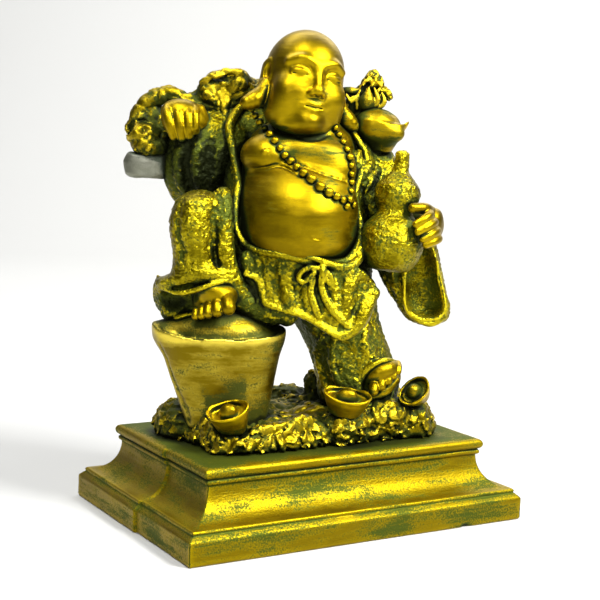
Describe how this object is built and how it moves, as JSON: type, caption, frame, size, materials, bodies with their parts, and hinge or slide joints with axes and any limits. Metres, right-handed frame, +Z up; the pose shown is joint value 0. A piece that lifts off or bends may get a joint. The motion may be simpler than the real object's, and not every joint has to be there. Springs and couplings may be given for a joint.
{
  "type": "budai figure",
  "caption": "Standing laughing monk figurine with a gourd, a laden branch and boat-shaped ingots, on a rectangular moulded plinth; ornament for a shelf or table.",
  "frame": {"origin": "middle of the plinth's underside, on the surface that the figurine stands on", "axes": "+Z up, the plinth's long front faces -Y, +X to the plinth's right seen from the front"},
  "size_m": [0.2, 0.141, 0.2564],
  "materials": {
    "plinth_gilding": "streaked yellow-gold paint rubbed over a dark green ground on cast resin, satin",
    "figure_gilding": "antique gold paint on cast resin, bright on the high parts, dark green wash in the recesses"
  },
  "bodies": {
    "root": {"plinth": "plinth_gilding", "figure": "figure_gilding"}
  },
  "joints": []
}
